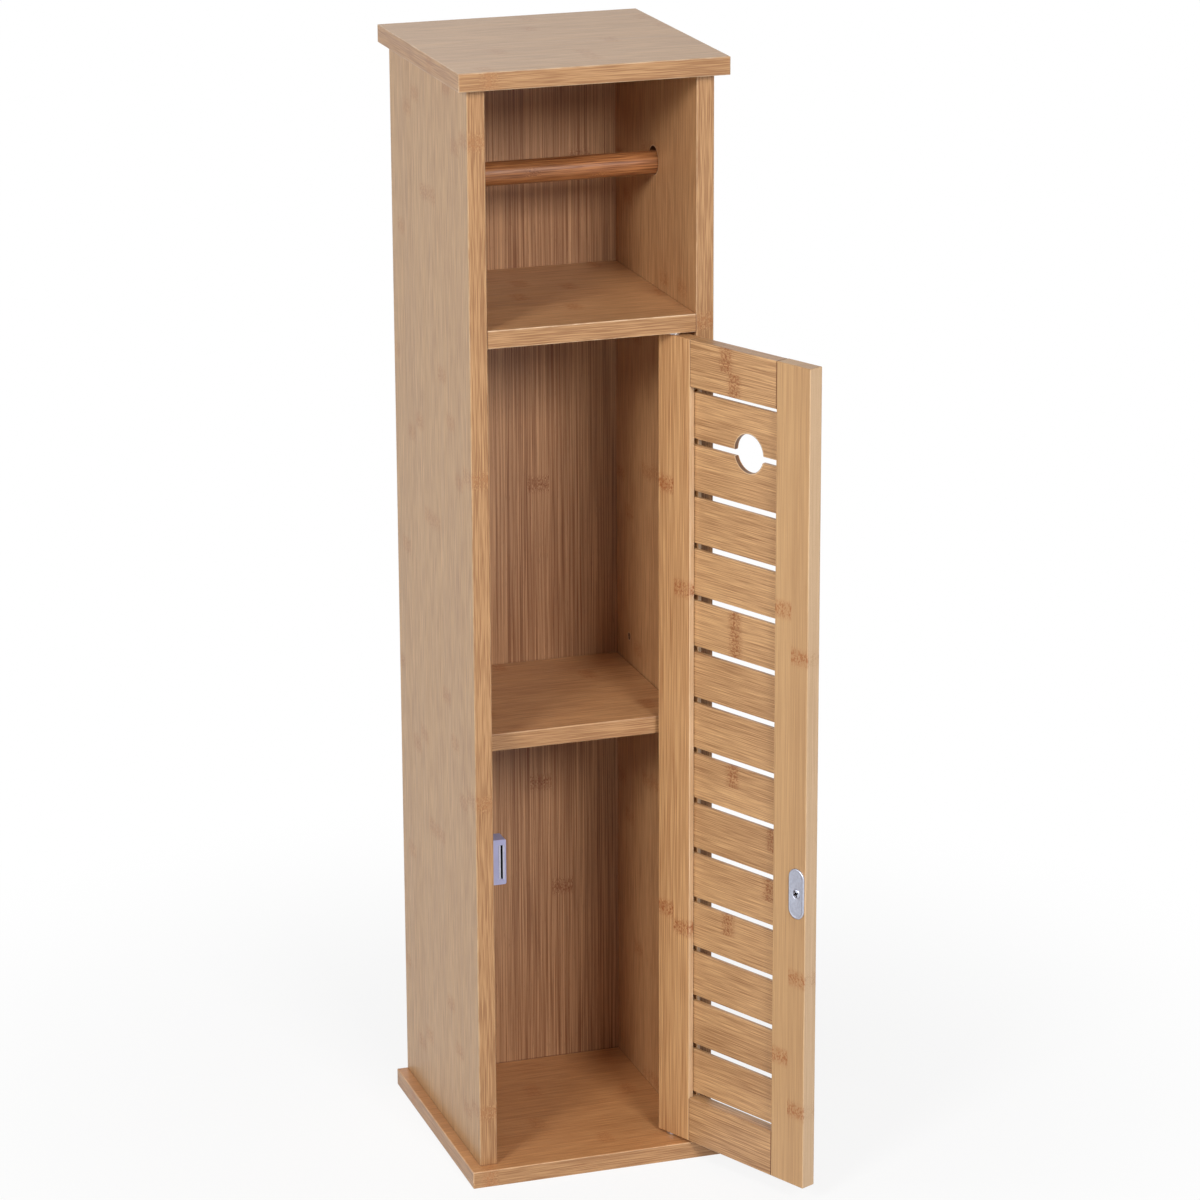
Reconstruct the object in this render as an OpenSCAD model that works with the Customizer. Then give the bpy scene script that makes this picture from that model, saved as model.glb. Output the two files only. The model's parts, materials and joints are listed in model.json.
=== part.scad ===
// Slim storage cabinet for toilet rolls. An open bay with a roll rod sits above
// two shelved compartments, which a slatted door closes. The door turns on two
// pivot pins and a magnetic catch holds it shut. It is drawn standing open.
// Millimetres. Origin: centre of the base board's underside, +Z up, front to -Y.

/* [Cabinet] */
// Overall height, floor to top face
cabinet_h = 790; // [760:1:900]
// Width across the outsides of the two side panels
body_w = 172; // [164:0.5:220]
// Depth of the side panels, front edge to rear edge
body_d = 185.5; // [165:0.5:240]
// Thickness of every cabinet board
board_t = 12.5; // [11:0.5:16]
// How far the top and base boards stand out past each side panel
side_overhang = 8; // [1:0.5:20]
// How far the top and base boards stand out past the front edges
front_overhang = 9.5; // [1:0.5:20]
// How far the back panel is set in from the rear edges
back_inset = 2.5; // [0:0.5:12]
// Rounding of the long edges of boards, stiles, rails and slats
arris_r = 0.8; // [0.3:0.1:1.5]

/* [Shelves] */
// Clear height of the open roll bay below the top board
roll_bay_h = 163; // [140:0.5:180]
// Height of the middle shelf's top face above the floor
middle_shelf_z = 323.5; // [290:0.5:420]
// Free space between the swing of the door's hinge edge and the middle shelf
shelf_swing_gap = 0.5; // [0.4:0.1:10]
// Gap at each end of the middle shelf, and behind it
shelf_play = 0.5; // [0.2:0.1:1]
// Diameter of the shelf pins
shelf_pin_d = 5; // [4:0.5:7]
// How deep a shelf pin sits in a side panel
shelf_pin_depth = 8; // [5:0.5:9]
// How far a shelf pin reaches under the shelf
shelf_pin_reach = 8; // [5:0.5:15]
// Distance of the shelf pins from the shelf's front and rear edges
shelf_pin_inset = 27; // [15:1:40]
// Height of the spare pin holes above the pins
spare_hole_rise = 35; // [25:1:60]

/* [Roll rod] */
// Diameter of the rod
rod_d = 16.5; // [12:0.5:18]
// Diameter of the blind holes that the rod lies in
rod_hole_d = 19.5; // [19:0.5:26]
// Depth of these holes
rod_hole_depth = 9; // [7:0.5:9.5]
// Length of rod that lies in each hole
rod_seat = 4; // [3:0.5:6]
// Chamfer around the ends of the rod
rod_chamfer = 1; // [0.3:0.1:2]
// Drop from the top board's underside to the middle of the holes
rod_drop = 75; // [60:0.5:90]
// Distance of the holes behind the side panels' front edges
rod_setback = 88; // [70:0.5:100]
// Clearance between the rod and the bottom of its holes
rod_lift = 0.1; // [0.05:0.05:0.3]

/* [Door] */
// Angle the door stands open in the drawing
door_angle = 115; // [0:1:116]
// Thickness of the stiles and rails
door_t = 11.5; // [11:0.5:13]
// Gap above and below the door
door_gap = 2; // [1.8:0.1:4]
// Gap between the closed door and the right side panel
hinge_gap = 2; // [1.9:0.1:4]
// Gap between the closed door and the left side panel
latch_gap = 1.5; // [1:0.1:4]
// How far the closed door's face sits behind the side panels' front edges
door_recess = 4.7; // [3:0.1:8]
// Width of the two stiles
stile_w = 31; // [28:0.5:36]
// Width of the top and bottom rails
rail_w = 33; // [30:0.5:50]
// How far the rails stay behind the stiles on the door's outer face
rail_setback = 0.7; // [0:0.1:1.5]
// Number of slats
slat_count = 14; // [8:1:16]
// Height of the open slot above each slat
slot_h = 4.3; // [3:0.1:8]
// Height of the open slot below the lowest slat
low_slot_h = 3.8; // [3:0.1:8]
// Thickness of the slats
slat_t = 3.3; // [3:0.1:4.5]
// Length of slat that sits in each stile
slat_tenon = 6; // [4:0.5:10]
// Clearance behind the slats and at their ends in the grooves of the stiles
slat_fit = 0.2; // [0.1:0.05:0.3]
// Clearance in front of the slats in these grooves
groove_play = 0.6; // [0.2:0.1:1]
// Distance of these grooves from the door's inner face
groove_inset = 4.1; // [3:0.1:4.5]
// Diameter of the finger hole
finger_hole_d = 27; // [20:0.5:34]
// Number of the slot that the finger hole is cut around, counted from the top
finger_slot = 2; // [2:1:6]
// Height of the finger hole's centre above the middle of its slot
finger_hole_rise = 1.7; // [-4:0.1:4]
// Distance of the finger hole's centre from the door's latch edge
finger_hole_inset = 60.9; // [50:0.1:70]

/* [Pivots] */
// Distance of the pivot axis from the door's hinge edge
pivot_inset = 10; // [8:0.5:10.5]
// Diameter of the pivot pins
pivot_d = 5; // [4:0.5:6]
// How deep each pivot pin sits in the hinge stile
pivot_depth = 14; // [10:0.5:20]
// Diameter of the collars and bush flanges
collar_d = 10.5; // [9:0.5:11]
// Thickness of the collar on each pin
collar_t = 1; // [0.8:0.1:1.2]
// Play between the collars and the bush flanges
bearing_play = 0.1; // [0.05:0.05:0.3]
// Outside diameter of the pivot bushes
bush_d = 8; // [7:0.5:8.5]
// Depth of the pivot bushes in the boards
bush_depth = 8; // [6:0.5:9]
// Radial running clearance of the pins in the bushes
pivot_play = 0.05; // [0.02:0.01:0.08]

/* [Catch] */
// Height of the catch and the strike plate above the floor
catch_z = 231; // [180:1:250]
// How far the catch stands out from the left side panel
catch_w = 14.6; // [13:0.1:18]
// Height of the catch
catch_h = 33; // [30:0.5:45]
// Depth of the catch, front to back
catch_d = 13; // [12:0.5:20]
// Rounding of the catch's edges
catch_r = 1.5; // [0.5:0.1:2]
// Wall of the housing beside the pole plates
catch_wall = 1.5; // [1:0.1:3]
// Thickness of each pole plate
pole_t = 1.3; // [0.8:0.1:1.5]
// Height of the pole plates and the magnet
pole_h = 25; // [15:0.5:27]
// Depth of the pole plates in the housing
pole_depth = 6.5; // [4:0.5:6.5]
// How far the pole plates stand out of the housing
pole_proud = 0.3; // [0.1:0.1:1]
// Thickness of the magnet between the pole plates
magnet_t = 1.5; // [1:0.1:3]
// How far the magnet sits behind the pole plates' edges
magnet_setback = 2; // [1:0.5:4]
// Air gap between the closed door's strike plate and the pole plates
catch_gap = 0.3; // [0.2:0.1:1]
// Width of the strike plate
strike_w = 14.3; // [12:0.1:15]
// Height of the strike plate
strike_h = 36.4; // [30:0.1:45]
// Thickness of the strike plate
strike_t = 1.1; // [0.9:0.1:1.6]
// Distance of the strike plate's middle from the door's latch edge
strike_inset = 8; // [7.7:0.1:12]

/* [Joinery] */
// Diameter of the dowels
dowel_d = 6; // [5:0.5:7]
// Length of the dowels
dowel_l = 24; // [20:1:30]
// Depth of a dowel in the face of a board
dowel_face_depth = 8; // [6:0.5:9]
// Distance of the dowels and screws from the edges of the boards
dowel_inset = 30; // [20:1:40]
// Number of dowels along each side of the back panel
back_dowel_count = 3; // [2:1:5]
// Distance of the rail dowels from the middle of a rail
rail_dowel_offset = 8; // [5:0.5:10]
// Radial clearance of dowels, pins, bushes and screws in their holes
fit = 0.05; // [0.02:0.01:0.1]
// Free depth behind dowels, pins and screws
end_play = 0.3; // [0.1:0.1:0.5]
// Diameter of the base screws
base_screw_d = 4; // [3:0.5:5]
// Length of the base screws
base_screw_l = 40; // [30:1:60]
// How deep the heads of the base screws are sunk
base_screw_sink = 0.3; // [0.1:0.1:1]
// Diameter of the small screws in the catch and the strike plate
small_screw_d = 3; // [2.5:0.5:3.5]
// Length of the strike plate's screw
strike_screw_l = 9; // [7:0.5:10]
// How deep the catch's screws reach into the side panel
catch_screw_grip = 7.5; // [4:0.5:9]

/* [Hidden] */
SLATS = [for (i = [1 : slat_count]) str("slat_", i < 10 ? "0" : "", i)];
$fn = 48;

// Cuts start this far outside the face that they open
cut_over = 1;

// Flat screw heads and their cross recesses, as multiples of the screw's diameter
head_width = 2;
head_height = 0.6;
recess_width = 1;
recess_slot = 0.25;

// Colours
bamboo = "burlywood";
bamboo_edge = "tan";
rod_brown = "sienna";
steel = "silver";
catch_grey = "lightsteelblue";

// Cabinet planes
top_w = body_w + 2 * side_overhang;
top_d = body_d + front_overhang;
side_front_y = -top_d / 2 + front_overhang;
side_back_y = top_d / 2;
inner_w = body_w - 2 * board_t;
inner_x = inner_w / 2;
panel_mid_x = body_w / 2 - board_t / 2;
back_face_y = side_back_y - back_inset - board_t;
back_mid_y = back_face_y + board_t / 2;
panel_h = cabinet_h - 2 * board_t;
top_under_z = cabinet_h - board_t;
upper_shelf_z = top_under_z - roll_bay_h;
dowel_front_y = side_front_y + dowel_inset;
dowel_rear_y = back_face_y - dowel_inset;

// Door planes: s runs from the hinge edge to the latch edge, the inner face is at d = 0
door_w = inner_w - hinge_gap - latch_gap;
door_low_z = board_t + door_gap;
door_high_z = upper_shelf_z - board_t - door_gap;
door_h = door_high_z - door_low_z;
pivot_x = inner_x - hinge_gap - pivot_inset;
pivot_y = side_front_y + door_recess + door_t / 2;
door_inner_y = side_front_y + door_recess + door_t;
opening_w = door_w - 2 * stile_w;
slat_pitch = (door_h - 2 * rail_w - low_slot_h) / slat_count;
slat_h = slat_pitch - slot_h;
slats_high_z = door_high_z - rail_w;
finger_hole_z = slats_high_z - slot_h / 2 - (finger_slot - 1) * slat_pitch + finger_hole_rise;
flange_t = door_gap - collar_t - bearing_play;

// Middle shelf, roll rod and catch
hinge_edge_swing = norm([pivot_inset, door_t / 2]);
middle_front_y = pivot_y + hinge_edge_swing + shelf_swing_gap;
middle_back_y = back_face_y - shelf_play;
pin_z = middle_shelf_z - board_t - shelf_pin_d / 2 - end_play;
pin_front_y = middle_front_y + shelf_pin_inset;
pin_rear_y = middle_back_y - shelf_pin_inset;
rod_y = side_front_y + rod_setback;
rod_hole_z = top_under_z - rod_drop;
rod_z = rod_hole_z - (rod_hole_d - rod_d) / 2 + rod_lift;
pole_front_y = door_inner_y + strike_t + catch_gap;
catch_front_y = pole_front_y + pole_proud;
catch_x = -inner_x + catch_w;
catch_screw_z = catch_h / 2 - small_screw_d * head_width;
catch_screw_y = catch_front_y + (pole_depth + catch_d) / 2;
catch_screw_l = catch_w + catch_screw_grip;

// ---- shapes ----

// A rectangle from the origin with rounded corners
module rounded_rect(size, r) {
    translate([r, 0]) square([size.x - 2 * r, size.y]);
    translate([0, r]) square([size.x, size.y - 2 * r]);
    for (x = [r, size.x - r], y = [r, size.y - r]) translate([x, y]) circle(r);
}

// Bars from the origin with their long edges rounded, along X, Y or Z
module bar_x(size, r) {
    rotate([90, 0, 90]) linear_extrude(size.x) rounded_rect([size.y, size.z], r);
}
module bar_y(size, r) {
    translate([0, size.y, 0]) rotate([90, 0, 0]) linear_extrude(size.y) rounded_rect([size.x, size.z], r);
}
module bar_z(size, r) {
    linear_extrude(size.z) rounded_rect([size.x, size.y], r);
}

// A block from the origin with all twelve edges rounded
module rounded_block(size, r) {
    intersection() {
        bar_x(size, r);
        bar_y(size, r);
        bar_z(size, r);
    }
}

// A rod with both rims chamfered, along +Z from the origin
module chamfered_rod(d, length, chamfer) {
    rotate_extrude() polygon([
        [0, 0], [d / 2 - chamfer, 0], [d / 2, chamfer],
        [d / 2, length - chamfer], [d / 2 - chamfer, length], [0, length]
    ]);
}

// A flat-headed screw along +Z, its head's face at the origin, with a cross recess
module flat_screw(d, length) {
    difference() {
        rotate_extrude() polygon([
            [0, 0], [d * head_width / 2, 0], [d / 2, d * head_height],
            [d / 2, length - d], [d / 8, length], [0, length]
        ]);
        for (turn = [0, 90]) rotate([0, 0, turn])
            translate([-d * recess_width / 2, -d * recess_slot / 2, -cut_over])
                cube([d * recess_width, d * recess_slot, d * head_height + cut_over]);
    }
}

// The hole that a flat-headed screw sits in, open at the face that holds the head
module flat_screw_hole(d, length) {
    rotate_extrude() polygon([
        [0, -cut_over], [d * head_width / 2 + fit, -cut_over], [d * head_width / 2 + fit, 0],
        [d / 2 + fit, d * head_height], [d / 2 + fit, length + end_play], [0, length + end_play]
    ]);
}

// Places children on a side panel's inner face, +Z into the panel; side is 1 or -1
module on_panel(side, y, z) {
    translate([side * inner_x, y, z]) rotate([0, side * 90, 0]) children();
}

// A blind hole in a side panel's inner face
module panel_hole(side, y, z, d, depth) {
    on_panel(side, y, z) translate([0, 0, -cut_over]) cylinder(d = d, h = depth + cut_over);
}

// A dowel that starts inside the face at the origin and runs back out along -Z
module dowel(face_depth) {
    translate([0, 0, face_depth - dowel_l]) cylinder(d = dowel_d, h = dowel_l);
}

// The hole that a dowel fills on both sides of the face at the origin
module dowel_hole(face_depth) {
    translate([0, 0, face_depth - dowel_l - end_play])
        cylinder(d = dowel_d + 2 * fit, h = dowel_l + 2 * end_play);
}

// ---- places of the fastenings ----

module at_top_dowels() {
    for (side = [-1, 1], y = [dowel_front_y, dowel_rear_y])
        translate([side * panel_mid_x, y, top_under_z]) children();
}

module at_shelf_dowels() {
    for (side = [-1, 1], y = [dowel_front_y, dowel_rear_y])
        on_panel(side, y, upper_shelf_z - board_t / 2) children();
}

module at_back_dowels() {
    for (side = [-1, 1], i = [1 : back_dowel_count])
        on_panel(side, back_mid_y, board_t + panel_h * i / (back_dowel_count + 1)) children();
}

module at_base_screws() {
    for (side = [-1, 1]) {
        for (y = [dowel_front_y, dowel_rear_y])
            translate([side * panel_mid_x, y, base_screw_sink]) children();
        translate([side * (inner_x - dowel_inset), back_mid_y, base_screw_sink]) children();
    }
}

module at_shelf_pins() {
    for (side = [-1, 1], y = [pin_front_y, pin_rear_y]) on_panel(side, y, pin_z) children();
}

module at_catch_screws() {
    for (z = [-catch_screw_z, catch_screw_z])
        translate([catch_x, catch_screw_y, catch_z + z]) rotate([0, -90, 0]) children();
}

module at_rail_dowels() {
    for (rail_z = [door_low_z + rail_w / 2, door_high_z - rail_w / 2])
        for (shift = [-rail_dowel_offset, rail_dowel_offset], s = [stile_w, door_w - stile_w])
            translate([s, door_t / 2, rail_z + shift]) rotate([0, 90, 0]) children();
}

// ---- cabinet ----

module horizontal_board() {
    translate([-top_w / 2, -top_d / 2, 0]) rounded_block([top_w, top_d, board_t], arris_r);
}

module top_board() {
    color(bamboo) difference() {
        translate([0, 0, top_under_z]) horizontal_board();
        at_top_dowels() dowel_hole(dowel_face_depth);
    }
}

module base_board() {
    color(bamboo) difference() {
        horizontal_board();
        at_base_screws() flat_screw_hole(base_screw_d, base_screw_l);
        translate([pivot_x, pivot_y, board_t]) bush_seat();
    }
}

// Everything that both side panels have in common
module side_panel(side) {
    x = side > 0 ? inner_x : -body_w / 2;
    difference() {
        translate([x, side_front_y, board_t]) bar_z([board_t, body_d, panel_h], arris_r);
        panel_hole(side, rod_y, rod_hole_z, rod_hole_d, rod_hole_depth);
        for (y = [pin_front_y, pin_rear_y], z = [pin_z, pin_z + spare_hole_rise])
            panel_hole(side, y, z, shelf_pin_d + 2 * fit, shelf_pin_depth + end_play);
        at_top_dowels() dowel_hole(dowel_face_depth);
        at_shelf_dowels() dowel_hole(dowel_face_depth);
        at_back_dowels() dowel_hole(dowel_face_depth);
        at_base_screws() flat_screw_hole(base_screw_d, base_screw_l);
    }
}

module left_side_panel() {
    color(bamboo) difference() {
        side_panel(-1);
        at_catch_screws() flat_screw_hole(small_screw_d, catch_screw_l);
    }
}

module right_side_panel() {
    color(bamboo) side_panel(1);
}

module back_panel() {
    color(bamboo_edge) difference() {
        translate([-inner_x, back_face_y, board_t]) cube([inner_w, board_t, panel_h]);
        at_back_dowels() dowel_hole(dowel_face_depth);
        at_base_screws() flat_screw_hole(base_screw_d, base_screw_l);
    }
}

module upper_shelf() {
    color(bamboo) difference() {
        translate([-inner_x, side_front_y, upper_shelf_z - board_t])
            bar_x([inner_w, back_face_y - side_front_y, board_t], arris_r);
        at_shelf_dowels() dowel_hole(dowel_face_depth);
        translate([pivot_x, pivot_y, upper_shelf_z - board_t]) mirror([0, 0, 1]) bush_seat();
    }
}

module middle_shelf() {
    color(bamboo) translate([-inner_x + shelf_play, middle_front_y, middle_shelf_z - board_t])
        bar_x([inner_w - 2 * shelf_play, middle_back_y - middle_front_y, board_t], arris_r);
}

module top_dowels() {
    color(bamboo_edge) at_top_dowels() dowel(dowel_face_depth);
}

module shelf_dowels() {
    color(bamboo_edge) at_shelf_dowels() dowel(dowel_face_depth);
}

module back_dowels() {
    color(bamboo_edge) at_back_dowels() dowel(dowel_face_depth);
}

module base_screws() {
    color(steel) at_base_screws() flat_screw(base_screw_d, base_screw_l);
}

module shelf_pins() {
    color(steel) at_shelf_pins() translate([0, 0, -shelf_pin_reach])
        cylinder(d = shelf_pin_d, h = shelf_pin_reach + shelf_pin_depth);
}

// ---- pivots ----

// The hole for a bush, below a face at the origin
module bush_seat() {
    translate([0, 0, -bush_depth - end_play])
        cylinder(d = bush_d + 2 * fit, h = bush_depth + end_play + cut_over);
}

// A flanged bush let into the face below the origin
module pivot_bush() {
    difference() {
        union() {
            translate([0, 0, -bush_depth]) cylinder(d = bush_d, h = bush_depth);
            cylinder(d = collar_d, h = flange_t);
        }
        translate([0, 0, -bush_depth - cut_over])
            cylinder(d = pivot_d + 2 * pivot_play, h = bush_depth + flange_t + 2 * cut_over);
    }
}

module lower_pivot_bush() {
    color("white") translate([pivot_x, pivot_y, board_t]) pivot_bush();
}

module upper_pivot_bush() {
    color("white") translate([pivot_x, pivot_y, upper_shelf_z - board_t]) mirror([0, 0, 1]) pivot_bush();
}

// A collared pin below the door's lower edge at the origin, +Z into the stile
module pivot_pin() {
    journal_l = collar_t + bearing_play + flange_t + bush_depth;
    translate([0, 0, -journal_l]) cylinder(d = pivot_d, h = journal_l + pivot_depth);
    translate([0, 0, -collar_t]) cylinder(d = collar_d, h = collar_t);
}

module pivot_pin_hole() {
    translate([0, 0, -cut_over]) cylinder(d = pivot_d + 2 * fit, h = pivot_depth + end_play + cut_over);
}

module at_lower_pivot() {
    translate([pivot_inset, door_t / 2, door_low_z]) children();
}

module at_upper_pivot() {
    translate([pivot_inset, door_t / 2, door_high_z]) mirror([0, 0, 1]) children();
}

// ---- door ----

// Puts the door on its pivots, turned open by door_angle
module in_door() {
    translate([pivot_x, pivot_y, 0]) rotate([0, 0, 180 + door_angle])
        translate([-pivot_inset, -door_t / 2, 0]) children();
}

// The grooves of both stiles, from rail to rail, as one bar across the opening
module slat_grooves() {
    groove_depth = slat_tenon + slat_fit;
    translate([stile_w - groove_depth, groove_inset, door_low_z + rail_w])
        cube([opening_w + 2 * groove_depth, groove_play + slat_t + slat_fit, door_h - 2 * rail_w]);
}

module stile() {
    difference() {
        children();
        slat_grooves();
        at_rail_dowels() dowel_hole(dowel_l / 2);
    }
}

module hinge_stile() {
    color(bamboo) in_door() difference() {
        stile() translate([0, 0, door_low_z]) rounded_block([stile_w, door_t, door_h], arris_r);
        at_lower_pivot() pivot_pin_hole();
        at_upper_pivot() pivot_pin_hole();
    }
}

module latch_stile() {
    color(bamboo) in_door() difference() {
        stile() translate([door_w - stile_w, 0, door_low_z])
            rounded_block([stile_w, door_t, door_h], arris_r);
        at_strike_screw() flat_screw_hole(small_screw_d, strike_screw_l);
    }
}

module rail(z) {
    color(bamboo) in_door() difference() {
        translate([stile_w, 0, z]) bar_x([opening_w, door_t - rail_setback, rail_w], arris_r);
        at_rail_dowels() dowel_hole(dowel_l / 2);
    }
}

module top_rail() {
    rail(door_high_z - rail_w);
}

module bottom_rail() {
    rail(door_low_z);
}

// Slat number i from the top; the finger hole cuts the two beside its slot
module slat(i) {
    color(bamboo) in_door() difference() {
        translate([stile_w - slat_tenon, groove_inset + groove_play, slats_high_z - i * slat_pitch])
            bar_x([opening_w + 2 * slat_tenon, slat_t, slat_h], arris_r);
        translate([door_w - finger_hole_inset, -cut_over, finger_hole_z]) rotate([-90, 0, 0])
            cylinder(d = finger_hole_d, h = door_t + 2 * cut_over);
    }
}

module rail_dowels() {
    color(bamboo_edge) in_door() at_rail_dowels() dowel(dowel_l / 2);
}

module lower_pivot_pin() {
    color(steel) in_door() at_lower_pivot() pivot_pin();
}

module upper_pivot_pin() {
    color(steel) in_door() at_upper_pivot() pivot_pin();
}

// ---- catch and strike plate ----

// The recess in the housing that the plates and the magnet fill, from its right wall
module in_pole_recess(x, width, setback) {
    translate([catch_x - catch_wall - x - width, pole_front_y + setback, catch_z - pole_h / 2])
        cube([width, pole_proud + pole_depth - setback, pole_h]);
}

module catch_housing() {
    size = [catch_w, catch_d, catch_h];
    color(catch_grey) difference() {
        translate([-inner_x, catch_front_y, catch_z - catch_h / 2]) intersection() {
            bar_y(size, catch_r);
            bar_z(size, catch_r / 2);
        }
        in_pole_recess(0, 2 * pole_t + magnet_t, 0);
        at_catch_screws() flat_screw_hole(small_screw_d, catch_screw_l);
    }
}

module catch_pole_plates() {
    color(steel) {
        in_pole_recess(0, pole_t, 0);
        in_pole_recess(pole_t + magnet_t, pole_t, 0);
    }
}

module catch_magnet() {
    color("dimgray") in_pole_recess(pole_t, magnet_t, magnet_setback);
}

module catch_screws() {
    color(steel) at_catch_screws() flat_screw(small_screw_d, catch_screw_l);
}

// The strike plate's middle, on the door's inner face, +Z into the stile
module at_strike() {
    translate([door_w - strike_inset, 0, catch_z]) rotate([-90, 0, 0]) children();
}

module at_strike_screw() {
    at_strike() translate([0, 0, -strike_t]) children();
}

// Half of the strike plate's section, with a chamfered rim
module strike_section() {
    chamfer = strike_t / 2;
    polygon([
        [0, 0], [strike_w / 2, 0], [strike_w / 2, strike_t - chamfer],
        [strike_w / 2 - chamfer, strike_t], [0, strike_t]
    ]);
}

// The strike plate with its round ends, rim up, along Y
module strike_blank() {
    run = strike_h - strike_w;
    rotate([90, 0, 0]) linear_extrude(run, center = true) {
        strike_section();
        mirror([1, 0]) strike_section();
    }
    for (y = [-run / 2, run / 2]) translate([0, y, 0]) rotate_extrude() strike_section();
}

module strike_plate() {
    color(steel) in_door() difference() {
        at_strike() mirror([0, 0, 1]) strike_blank();
        at_strike_screw() flat_screw_hole(small_screw_d, strike_screw_l);
    }
}

module strike_screw() {
    color(steel) in_door() at_strike_screw() flat_screw(small_screw_d, strike_screw_l);
}

// ---- roll rod ----

module roll_rod() {
    length = inner_w + 2 * rod_seat;
    color(rod_brown) translate([-length / 2, rod_y, rod_z]) rotate([0, 90, 0])
        chamfered_rod(rod_d, length, rod_chamfer);
}

top_board();
base_board();
left_side_panel();
right_side_panel();
back_panel();
upper_shelf();
middle_shelf();
top_dowels();
shelf_dowels();
back_dowels();
base_screws();
shelf_pins();
upper_pivot_bush();
lower_pivot_bush();
catch_housing();
catch_magnet();
catch_pole_plates();
catch_screws();
roll_rod();
hinge_stile();
latch_stile();
top_rail();
bottom_rail();
rail_dowels();
upper_pivot_pin();
lower_pivot_pin();
strike_plate();
strike_screw();
for (i = [1 : slat_count]) slat(i);
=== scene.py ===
# %% [markdown]
# # A slim cabinet for toilet rolls, with its slatted door standing open
# The boards, the door, the rod and the fittings come from the construction model at their real
# size, so nothing here moves them. This lesson gives each piece its finish, makes the small steel
# fittings finer than the model has them, and sets up a studio with a camera, a floor and lamps.
# Blender works in metres. The patterns are written in millimetres, as a joiner thinks.

import json
import math

import bmesh
import bpy
from mathutils import Matrix, Vector


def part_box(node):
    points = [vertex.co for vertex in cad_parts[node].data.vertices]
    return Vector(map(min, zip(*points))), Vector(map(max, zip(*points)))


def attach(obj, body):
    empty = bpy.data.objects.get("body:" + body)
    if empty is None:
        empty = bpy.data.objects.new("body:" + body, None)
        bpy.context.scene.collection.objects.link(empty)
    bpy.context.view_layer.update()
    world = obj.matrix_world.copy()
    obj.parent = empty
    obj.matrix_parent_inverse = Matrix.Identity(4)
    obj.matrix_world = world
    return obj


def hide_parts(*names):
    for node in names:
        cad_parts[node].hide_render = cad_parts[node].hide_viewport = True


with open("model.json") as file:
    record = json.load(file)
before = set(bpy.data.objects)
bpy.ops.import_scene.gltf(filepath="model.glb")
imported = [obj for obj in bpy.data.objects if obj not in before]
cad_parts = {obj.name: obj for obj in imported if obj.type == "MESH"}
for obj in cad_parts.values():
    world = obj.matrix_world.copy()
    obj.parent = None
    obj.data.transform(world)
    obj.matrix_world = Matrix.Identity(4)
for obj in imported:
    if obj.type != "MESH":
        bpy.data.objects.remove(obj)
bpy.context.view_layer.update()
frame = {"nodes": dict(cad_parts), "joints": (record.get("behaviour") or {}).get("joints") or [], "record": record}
MM = 0.001
X, Y, Z = 0, 1, 2
print("pieces in the model:", len(frame["nodes"]))

# %% [markdown]
# The model holds the door open. Its grain has to run along the door's own height and width, not
# along the room's, so the door's directions are needed. The axis it turns on is one of the model's
# joints, and the middle of the latch stile, at the door's far side, shows where the door points.

# %% The door's own directions
hinge = next(joint for joint in frame["joints"] if joint["child"] == "door")
DOOR_PIVOT = Vector((hinge["pos_m"][0], hinge["pos_m"][1], 0))


def middle(node):
    """The middle of a piece's box."""
    low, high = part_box(node)
    return (low + high) / 2


across_door = middle("latch_stile") - DOOR_PIVOT
DOOR_ANGLE = math.atan2(across_door.y, across_door.x)
print("the door points to", round(math.degrees(DOOR_ANGLE), 1), "degrees")

# %% [markdown]
# Worn edges need to know where a piece ends. The box of a piece is measured along its own
# directions, so a copy of the corners of a door piece is turned back as if the door pointed along
# the room's x. The piece itself stays as it is.

# %% The reach of a piece along its own directions
DOOR_NODES = frame["record"]["behaviour"]["bodies"]["door"]
TO_CABINET = Matrix.Identity(4)
TO_DOOR = Matrix.Rotation(-DOOR_ANGLE, 4, "Z") @ Matrix.Translation(-DOOR_PIVOT)


def reach(node):
    """The lowest and highest x, y and z of a piece along its own directions, in millimetres."""
    own = TO_DOOR if node in DOOR_NODES else TO_CABINET
    corners = [own @ vertex.co / MM for vertex in frame["nodes"][node].data.vertices]
    low = [min(corner[axis] for corner in corners) for axis in range(3)]
    high = [max(corner[axis] for corner in corners) for axis in range(3)]
    return low, high


for node in ("upper_shelf", "hinge_stile"):
    low, high = reach(node)
    print(node, "is", [round(high[axis] - low[axis], 1) for axis in range(3)], "mm")

# %% [markdown]
# ## Writing materials as sums
# A procedural finish is mostly arithmetic: distances, waves and masks that are added, multiplied and
# compared. Wiring that by hand takes hundreds of Math nodes. Here a small class stands for one
# number in a material, so that a line such as `1 - mask * 0.5` adds the right nodes by itself.


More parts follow.
